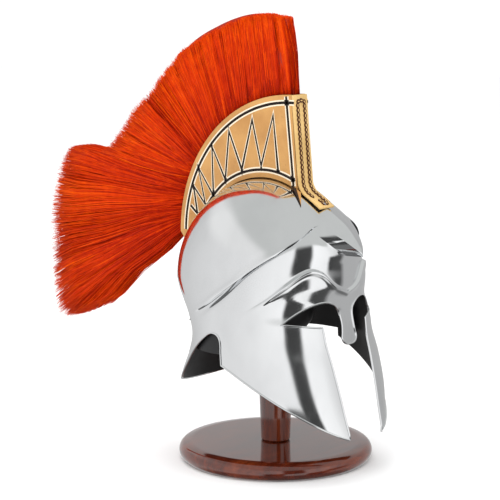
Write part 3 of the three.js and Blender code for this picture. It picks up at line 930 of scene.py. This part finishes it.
def crest_outline(inset, half_span):
    radius = CREST_RADIUS - inset
    steps = 60
    points = []
    for i in range(steps + 1):
        points.append(crest_arc(radius, lerp(90, 0, i / steps)))
    points[0] = (STRIP_TOP_Y + 0.3, points[0][1])
    first = min(CREST_CENTRE[0] + radius, HALF_LENGTH + CENTRE_Y - 1)
    for i in range(steps + 1):
        y = lerp(first, STRIP_FOOT_Y + 0.3, 1 - math.cos(math.pi / 2 * i / steps))
        points.append((y, dome_under(y, half_span) + STRIP_LIFT))
    return points


def make_panel(side):
    thickness = LEATHER if side > 0 else -LEATHER
    panel = slab("panel", crest_outline(0, CREST_HALF), side * CREST_HALF, -thickness, "X")
    panel.data.materials.append(PANEL_LEATHER)
    soften_edges(panel, 0.5)
    return panel


def ribbon(path, width, side, proud, material):
    """A flat painted line on the panel's face, along a path in Y and Z."""
    x = side * (CREST_HALF + proud)
    points = []
    count = len(path)
    for i, (y, z) in enumerate(path):
        before = path[max(i - 1, 0)]
        after = path[min(i + 1, count - 1)]
        into = Vector((y - before[0], z - before[1]))
        away = Vector((after[0] - y, after[1] - z))
        into = into.normalized() if into.length else away.normalized()
        away = away.normalized() if away.length else into
        middle = (into + away).normalized()
        miter = min(1 / max(abs(middle.dot(into)), 0.35), 2.6)
        across = Vector((-middle.y, middle.x)) * (width / 2 * miter)
        points += [(x, y + across.x, z + across.y), (x, y - across.x, z - across.y)]
    faces = []
    for i in range(0, (count - 1) * 2, 2):
        faces.append((i, i + 1, i + 3, i + 2))
    piece = from_points("line", points, faces)
    make_active(piece)
    bpy.ops.object.mode_set(mode="EDIT")
    bpy.ops.mesh.select_all(action="SELECT")
    bpy.ops.mesh.extrude_region_move(TRANSFORM_OT_translate={"value": (-side * (proud + 0.4) * MM, 0, 0)})
    bpy.ops.object.mode_set(mode="OBJECT")
    tidy_normals(piece, 0.000001)
    piece.data.materials.append(material)
    return piece


# Zigzag of the side panels: peaks and valleys in Y and Z, in millimetres from the crest's centre
ZIGZAG = [
    (20, 84), (28, 150), (46, 90), (60, 143), (76, 83), (96, 127), (102, 69), (123, 107),
    (121, 48), (145, 80), (134, 36), (153, 57), (147, 24), (158, 33),
]


def border_paths():
    """The three double lines of a side panel: outer arc, front edge and lower arc."""
    arc = [crest_arc(CREST_RADIUS - BORDER_INSET, lerp(91, 1, i / 60)) for i in range(61)]
    front_top = (STRIP_TOP_Y + 7.5, CREST_CENTRE[1] + CREST_RADIUS - 2)
    front = [front_top, (STRIP_FOOT_Y + 6, dome_under(STRIP_FOOT_Y) + 5)]
    lower = []
    for i in range(41):
        y = lerp(STRIP_FOOT_Y + 4, 118, i / 40)
        lower.append((y, dome_under(y) + 9.5 - 4 * smoothstep(y, 60, 118)))
    return arc, front, lower


def make_lines(side):
    zigzag = [(CREST_CENTRE[0] + y, CREST_CENTRE[1] + z) for y, z in ZIGZAG]
    pieces = []
    for path in border_paths():
        pieces.append(ribbon(path, BORDER_CREAM, side, CREAM_PROUD, CREAM_LINE))
        pieces.append(ribbon(path, BORDER_BLACK, side, BLACK_PROUD, BLACK_LINE))
    pieces.append(ribbon(zigzag, ZIGZAG_CREAM, side, CREAM_PROUD, CREAM_LINE))
    pieces.append(ribbon(zigzag, ZIGZAG_BLACK, side, BLACK_PROUD, BLACK_LINE))
    return pieces


for side, word in ((1, "left"), (-1, "right")):
    panel = join([make_panel(side)] + make_lines(side), "tooled_panel_" + word)
    smooth(panel, 40)
    finish(panel, "leather", "crest_panel_" + word)

core_half = CREST_HALF - LEATHER - CLEARANCE
core = slab("hair_block", crest_outline(CORE_INSET, core_half), -core_half, 2 * core_half, "X")
core.data.materials.append(PANEL_LEATHER)
soften_edges(core, 0.4)
finish(core, "leather", "crest_core")


def strip_path():
    """Centre line of the strip's front face: down the crest, then forward along the brow."""
    top = CREST_CENTRE[1] + math.sqrt(CREST_RADIUS ** 2 - (STRIP_TOP_Y - CREST_CENTRE[0]) ** 2)
    foot = dome_under(STRIP_FOOT_Y) + STRIP_LIFT + LEATHER * 1.6
    path = []
    for i in range(41):
        path.append((lerp(STRIP_TOP_Y, STRIP_FOOT_Y, i / 40) - LEATHER, lerp(top, foot + 6, i / 40)))
    corner = (STRIP_FOOT_Y - LEATHER, foot + 1)
    tab_start = STRIP_FOOT_Y - 9
    path += curve_points(path[-1], corner, (tab_start, dome_under(tab_start) + STRIP_LIFT + LEATHER), 8)
    for i in range(1, 13):
        y = lerp(tab_start, TAB_END_Y, i / 12)
        path.append((y, dome_under(y) + STRIP_LIFT + LEATHER))
    return path


def outward(path, i):
    """Unit vector out of the strip's front face at a point of the path, in Y and Z."""
    a = Vector(path[max(i - 1, 0)])
    b = Vector(path[min(i + 1, len(path) - 1)])
    along = (b - a).normalized()
    out = Vector((along.y, -along.x))
    return -out if out.x > 0.2 else out


def make_strip():
    path = strip_path()
    points = []
    for i, (y, z) in enumerate(path):
        out = outward(path, i)
        for x, depth in ((-CREST_HALF, 0), (CREST_HALF, 0), (CREST_HALF, LEATHER), (-CREST_HALF, LEATHER)):
            points.append((x, y - out.x * depth, z - out.y * depth))
    faces = [(0, 1, 2, 3)]
    for i in range(len(path) - 1):
        for k in range(4):
            n = (k + 1) % 4
            faces.append((i * 4 + k, i * 4 + n, i * 4 + 4 + n, i * 4 + 4 + k))
    last = (len(path) - 1) * 4
    faces.append((last + 3, last + 2, last + 1, last))
    strip = from_points("strip", points, faces)
    strip.data.materials.append(STRIP_LEATHER)
    strip.data.materials.append(SHADE_BROWN)
    # The strip's underside is dark brown: painted shade under the tab
    for face in strip.data.polygons:
        if face.index % 4 == 3 and 0 < face.index < len(faces) - 1:
            face.material_index = 1
    tidy_normals(strip)
    soften_edges(strip, 0.45)
    return strip


def strip_line(path, track, proud):
    """Places on the strip's front face from a track of distance down the strip and X."""
    lengths = [0.0]
    for a, b in zip(path, path[1:]):
        lengths.append(lengths[-1] + math.dist(a, b))
    line = []
    for distance, x in track:
        distance = min(max(distance, 0), lengths[-1])
        i = max(min(int(np.searchsorted(lengths, distance)), len(path) - 1), 1)
        share = (distance - lengths[i - 1]) / (lengths[i] - lengths[i - 1])
        out = outward(path, i)
        y = lerp(path[i - 1][0], path[i][0], share) + out.x * proud
        z = lerp(path[i - 1][1], path[i][1], share) + out.y * proud
        line.append((x, y, z))
    return line


def cord_track(total):
    """The tooled cord's centre line: up one side, over, down the other and round a hook on the tab."""
    low = total - CORD_FOOT
    track = [(lerp(low - CORD_HOOK, CORD_TOP, i / 200), -CORD_RAIL) for i in range(201)]
    for i in range(1, 12):
        track.append((CORD_TOP - 1.5 * math.sin(math.pi * i / 12), lerp(-CORD_RAIL, CORD_RAIL, i / 12)))
    track += [(lerp(CORD_TOP, low, i / 200), CORD_RAIL) for i in range(201)]
    track += [(low, lerp(CORD_RAIL, -CORD_RAIL * 0.2, i / 10)) for i in range(1, 11)]
    track += [(lerp(low, low - CORD_HOOK * 0.6, i / 8), -CORD_RAIL * 0.2) for i in range(1, 9)]
    return track


def make_rope():
    """Two brown cords that wind round each other along the track, with a pale core between them."""
    path = strip_path()
    total = sum(math.dist(a, b) for a, b in zip(path, path[1:]))
    track = cord_track(total)
    pieces = []
    core = strip_line(path, track, 0.1)
    pale = tube("cord_core", core, CORD_CORE, resolution=1)
    pale.data.materials.append(STRIP_LEATHER)
    pieces.append(pale)
    for phase in (0, math.pi):
        swung = []
        travelled = 0.0
        for i, (distance, x) in enumerate(track):
            before = track[max(i - 1, 0)]
            after = track[min(i + 1, len(track) - 1)]
            travelled += math.dist(before, (distance, x))
            along = Vector((after[0] - before[0], after[1] - before[1])).normalized()
            swing = CORD_SWING * math.sin(travelled * math.tau / CORD_PITCH + phase)
            swung.append((distance - along.y * swing, x + along.x * swing))
        cord = tube("cord", strip_line(path, swung, 0.45), CORD_RADIUS, resolution=1)
        cord.data.materials.append(ROPE_BROWN)
        pieces.append(cord)
    return join(pieces, "rope")


strip = join([make_strip(), make_rope()], "tooled_front_strip")
smooth(strip, 40)
finish(strip, "leather", "crest_front_strip")


FLAP_BEHIND = 9
FLAP_AHEAD = 5
FLAP_OUT = 13
FLAP_REACH = 16
FLAP_THICKNESS = 1.6
FLAP_STEPS = 8


def make_flap(side):
    """The pointed corner of a side panel, curled down on the dome, with the half towards its back edge dark
    brown as painted shade.
    """
    root_x = CREST_HALF + CLEARANCE
    root_a = Vector((root_x, STRIP_FOOT_Y + FLAP_BEHIND))
    root_b = Vector((root_x, STRIP_FOOT_Y - FLAP_AHEAD))
    tip = Vector((root_x + FLAP_OUT, STRIP_FOOT_Y - FLAP_REACH))
    points = []
    rows = []
    for i in range(FLAP_STEPS + 1):
        share = i / FLAP_STEPS
        a = root_a.lerp(tip, share)
        b = root_b.lerp(tip, share)
        row = []
        for k in range(5):
            spot = a.lerp(b, k / 4)
            row.append(len(points))
            points.append((spot.x * side, spot.y, dome_height(spot.x, spot.y) + 1.2 + 1.8 * (1 - share)))
        rows.append(row)
    faces = []
    for row, after in zip(rows, rows[1:]):
        faces += [(row[k], row[k + 1], after[k + 1], after[k]) for k in range(4)]
    flap = from_points("flap", points, faces)
    tidy_normals(flap)
    flap.data.materials.append(PANEL_LEATHER)
    flap.data.materials.append(SHADE_BROWN)
    # The half towards the back edge is dark brown: painted shade
    for face in flap.data.polygons:
        face.material_index = 1 if face.index % 4 < 2 else 0
    apply_modifier(flap, "SOLIDIFY", thickness=FLAP_THICKNESS * MM, offset=0)
    return flap


for side, word in ((1, "left"), (-1, "right")):
    flap = make_flap(side)
    flap.name = "leather_corner_" + word
    smooth(flap, 40)
    finish(flap, "leather", "crest_flap_" + word)


RIVET_PLACE = 0.86  # share of the way along the tab
RIVET_PROFILE = [(0, 0.2), (2.4, 0.2), (2.3, 0.6), (1.7, 1.1), (0.9, 1.4), (0, 1.5)]


def make_rivet():
    """A small domed rivet head near the end of the tab."""
    y = lerp(STRIP_FOOT_Y, TAB_END_Y, RIVET_PLACE)
    z = dome_under(y) + STRIP_LIFT + LEATHER
    rise = dome_under(y + 2) - dome_under(y - 2)
    slope = math.atan2(rise, 4)
    rivet = turned("rivet", RIVET_PROFILE, 24)
    make_active(rivet)
    rivet.data.transform(Matrix.Rotation(slope, 4, "X"))
    rivet.data.transform(Matrix.Translation((0, y * MM, z * MM)))
    rivet.data.materials.append(STEEL)
    return rivet


rivet = make_rivet()
rivet.name = "tab_rivet"
smooth(rivet, 40)
finish(rivet, "steel", "crest_rivet")


# Plume
HAIR_ARC = (88.5, 2)  # degrees from the front root to the back root
HAIR_SEAT = 2
LOCKS = 95
LOCK_KINDS = 200
LOCK_SEED = 7
LOCK_SIDE = 0.32
LOCK_TINT = 0.17
LOCK_PULL = 0.28
TIP_SPREAD = 0.0105
LENGTH_SPREAD = 0.008
STRAND_SHORTEST = 0.6
WAVE_HEIGHT = 2.2
TAIL_START = 0.72
TAIL_SAG = 9
TAIL_RIPPLE = 2.6
ROOT_SHADE = 0.30
TIP_SHINE = 0.08
STATIONS = np.array([0.0, 0.3, 0.6, 0.85, 1.0])
STRAND_RADII = np.array([0.52, 0.58, 0.54, 0.44, 0.20])
MASS_HALVES = ((0.0, HAIR_ROOT_HALF - 1.5), (0.5, 9.5), (0.80, 8.0), (0.93, 2.5))
PLUME_PARTS = 5
STRANDS = 5800


def root_place(share):
    angle = np.radians(HAIR_ARC[0] + (HAIR_ARC[1] - HAIR_ARC[0]) * share)
    radius = CREST_RADIUS - CORE_INSET + HAIR_SEAT
    return CREST_CENTRE[0] + radius * np.cos(angle), CREST_CENTRE[1] + radius * np.sin(angle)


def tip_place(share):
    back = np.array([look_up(HAIR_TIPS, "root", "back", s) for s in share]) * HAIR_BACK
    up = np.array([look_up(HAIR_TIPS, "root", "up", s) for s in share]) * HAIR_TOP
    return back, up


def make_strands(name, count, low, high, seed):
    """Thin tapered three-sided hairs between two shares of the crest, in loose locks."""
    rng = np.random.default_rng(seed)
    share = rng.uniform(low, high, count)
    lock = np.floor(share * LOCKS + rng.normal(0, 0.35, count))
    lock_pull = (lock + 0.5) / LOCKS
    kind = lock.astype(int) % LOCK_KINDS
    lock_rng = np.random.default_rng(LOCK_SEED)
    lock_length = lock_rng.normal(0, LENGTH_SPREAD, LOCK_KINDS)[kind]
    lock_side = lock_rng.normal(0, LOCK_SIDE, LOCK_KINDS)[kind]
    lock_tint = lock_rng.uniform(-LOCK_TINT, LOCK_TINT, LOCK_KINDS)[kind]
    depth = rng.uniform(-1, 1, count)
    pulled = share * (1 - LOCK_PULL) + lock_pull * LOCK_PULL
    tip_share = np.clip(pulled + rng.normal(0, TIP_SPREAD, count), 0.0, 1.0)
    root_y, root_z = root_place(share)
    tip_y, tip_z = tip_place(tip_share)
    full = np.interp(share, HAIR_REACH["root"], HAIR_REACH["reach"])
    uneven = rng.normal(0, LENGTH_SPREAD, count)
    reach = np.clip(full + lock_length + uneven - 0.05 * rng.random(count) ** 6, STRAND_SHORTEST, 1.0)
    half_tip = HAIR_TIP_HALF * (0.72 + 0.28 * np.clip(share * 2, 0, 1))
    wave = rng.normal(0, 1, count)
    sag = np.clip((share - TAIL_START) / (1 - TAIL_START), 0, 1)
    verts = np.empty((count, len(STATIONS), 3, 3))
    dir_y = tip_y - root_y
    dir_z = tip_z - root_z
    length = np.hypot(dir_y, dir_z)
    across_y = -dir_z / length
    across_z = dir_y / length
    for s, along in enumerate(STATIONS):
        t = along * reach
        bow = (np.sin(np.pi * along) * (WAVE_HEIGHT * wave + TAIL_SAG * sag * np.sin(6 * share + 1))
               + sag * TAIL_RIPPLE * np.sin(along * 11 + lock_pull * 46))
        y = root_y + dir_y * t + across_y * bow
        z = root_z + dir_z * t + across_z * bow
        half = HAIR_ROOT_HALF + (half_tip - HAIR_ROOT_HALF) * along
        x = np.clip((depth + lock_side * along) * half, -half, half)
        for k in range(3):
            turn = 2 * np.pi * k / 3
            verts[:, s, k, 0] = x + STRAND_RADII[s] * np.cos(turn)
            verts[:, s, k, 1] = y + STRAND_RADII[s] * np.sin(turn) * across_y
            verts[:, s, k, 2] = z + STRAND_RADII[s] * np.sin(turn) * across_z
    rings = len(STATIONS)
    first = np.arange(count) * rings * 3
    ring = first[:, None, None] + (np.arange(rings - 1) * 3)[None, :, None]
    side = np.arange(3)[None, None, :]
    after = (side + 1) % 3
    quads = np.stack([ring + side, ring + after, ring + 3 + after, ring + 3 + side], -1).reshape(-1, 4)
    root_caps = first[:, None] + np.array([[0, 2, 1]])
    tip_caps = first[:, None] + np.array([[0, 1, 2]]) + (rings - 1) * 3
    caps = np.concatenate([root_caps, tip_caps])
    mesh = bpy.data.meshes.new(name)
    flat = (verts.reshape(-1, 3) * MM).astype(np.float32)
    mesh.vertices.add(len(flat))
    mesh.vertices.foreach_set("co", flat.ravel())
    loops = np.concatenate([quads.ravel(), caps.ravel()]).astype(np.int32)
    mesh.loops.add(len(loops))
    mesh.loops.foreach_set("vertex_index", loops)
    starts = np.concatenate([np.arange(len(quads)) * 4, len(quads) * 4 + np.arange(len(caps)) * 3])
    mesh.polygons.add(len(starts))
    mesh.polygons.foreach_set("loop_start", starts.astype(np.int32))
    mesh.update(calc_edges=True)
    mesh.validate()
    tint = np.clip(0.5 + lock_tint + rng.normal(0, 0.16, count), 0, 1)
    per_point = np.repeat(tint[:, None], rings * 3, 1).reshape(count, rings, 3)
    # Roots darkened as painted shade and tips lightened as a painted sheen
    per_point = per_point + (TIP_SHINE * STATIONS - ROOT_SHADE * (1 - STATIONS))[None, :, None]
    layer = mesh.attributes.new("tint", "FLOAT", "POINT")
    layer.data.foreach_set("value", np.clip(per_point, 0, 1).astype(np.float32).ravel())
    piece = bpy.data.objects.new(name, mesh)
    bpy.context.collection.objects.link(piece)
    mesh.materials.append(HAIR)
    return piece


def make_plume_mass():
    """The dense inside of the plume, a little smaller than its outline, coloured dark as painted shade among
    the hairs.
    """
    steps = 60
    points = []
    for i in range(steps + 1):
        share = 0.965 * i / steps
        root_y, root_z = root_place(share)
        (tip_y,), (tip_z,) = tip_place([share])
        for along, half in MASS_HALVES:
            y = lerp(root_y, tip_y, along)
            z = lerp(root_z, tip_z, along)
            points += [(-half, y, z), (half, y, z)]
    faces = []
    for i in range(steps):
        a = i * 8
        b = a + 8
        for k in (0, 2, 4):
            faces.append((a + k, a + k + 2, b + k + 2, b + k))
            faces.append((a + k + 1, b + k + 1, b + k + 3, a + k + 3))
        faces.append((a, b, b + 1, a + 1))
        faces.append((a + 6, a + 7, b + 7, b + 6))
    end = steps * 8
    for k in (0, 2, 4):
        faces.append((k, k + 1, k + 3, k + 2))
        faces.append((end + k + 1, end + k, end + k + 2, end + k + 3))
    mass = from_points("plume_mass", points, faces)
    tidy_normals(mass)
    mass.data.materials.append(HAIR_SHADOW)
    return mass


mass = make_plume_mass()
smooth(mass, 60)
finish(mass, "hair", "plume")
for part in range(PLUME_PARTS):
    low = part / PLUME_PARTS
    hairs = make_strands(f"plume_hair_{part + 1}", STRANDS, low, (part + 1) / PLUME_PARTS, part + 11)
    finish(hairs, "hair")


# Stand
def rounded_base():
    edge = BASE_HEIGHT / 2
    rim = BASE_RADIUS - BASE_EASE - edge
    profile = [(0, 0), (BASE_RADIUS - edge * 0.9, 0)]
    for i in range(15):
        angle = math.radians(lerp(-75, 62, i / 14))
        profile.append((rim + edge * math.cos(angle), edge + edge * math.sin(angle)))
    profile += [(BASE_TOP_RADIUS + 1.5, BASE_HEIGHT - 0.25), (BASE_TOP_RADIUS, BASE_HEIGHT - 0.05),
                (BASE_TOP_RADIUS - 2, BASE_HEIGHT), (0, BASE_HEIGHT)]
    return profile


base = turned("stand_base_polished", rounded_base(), 160)
base.data.materials.append(BASE_WOOD)
smooth(base, 30)
finish(base, "wood", "stand_base")

head_top = WIDEST_HEIGHT + DOME_RISE - WALL - 0.5
head_foot = head_top - HEAD_HEIGHT
post_foot = BASE_HEIGHT + CLEARANCE
post_profile = [(0, post_foot), (POST_RADIUS - 0.6, post_foot), (POST_RADIUS, BASE_HEIGHT + 1)]
for i in range(13):
    radius = lerp(POST_RADIUS, POST_NECK_RADIUS, smoothstep(i, -4, 12))
    post_profile.append((radius, lerp(BASE_HEIGHT + 2, head_foot - 5, i / 12)))
post_profile += [(POST_NECK_RADIUS, head_foot - CLEARANCE), (0, head_foot - CLEARANCE)]
post = turned("stand_post_polished", post_profile, 96)
post.data.materials.append(POST_WOOD)
smooth(post, 30)
finish(post, "wood", "stand_post")

head_profile = [(0, head_foot)]
head_profile += [(HEAD_RADIUS * out, head_top - HEAD_HEIGHT * down)
                 for out, down in zip(HEAD_STEPS["out"], HEAD_STEPS["down"])]
head_profile.append((0, head_top))
head = turned("stand_head_polished", head_profile, 64)
# The head takes the near-black lining colour instead of wood: painted shade inside the helmet, seen through
# its openings
head.data.materials.append(LINING_AND_SHADE)
smooth(head, 30)
finish(head, "wood", "stand_head")
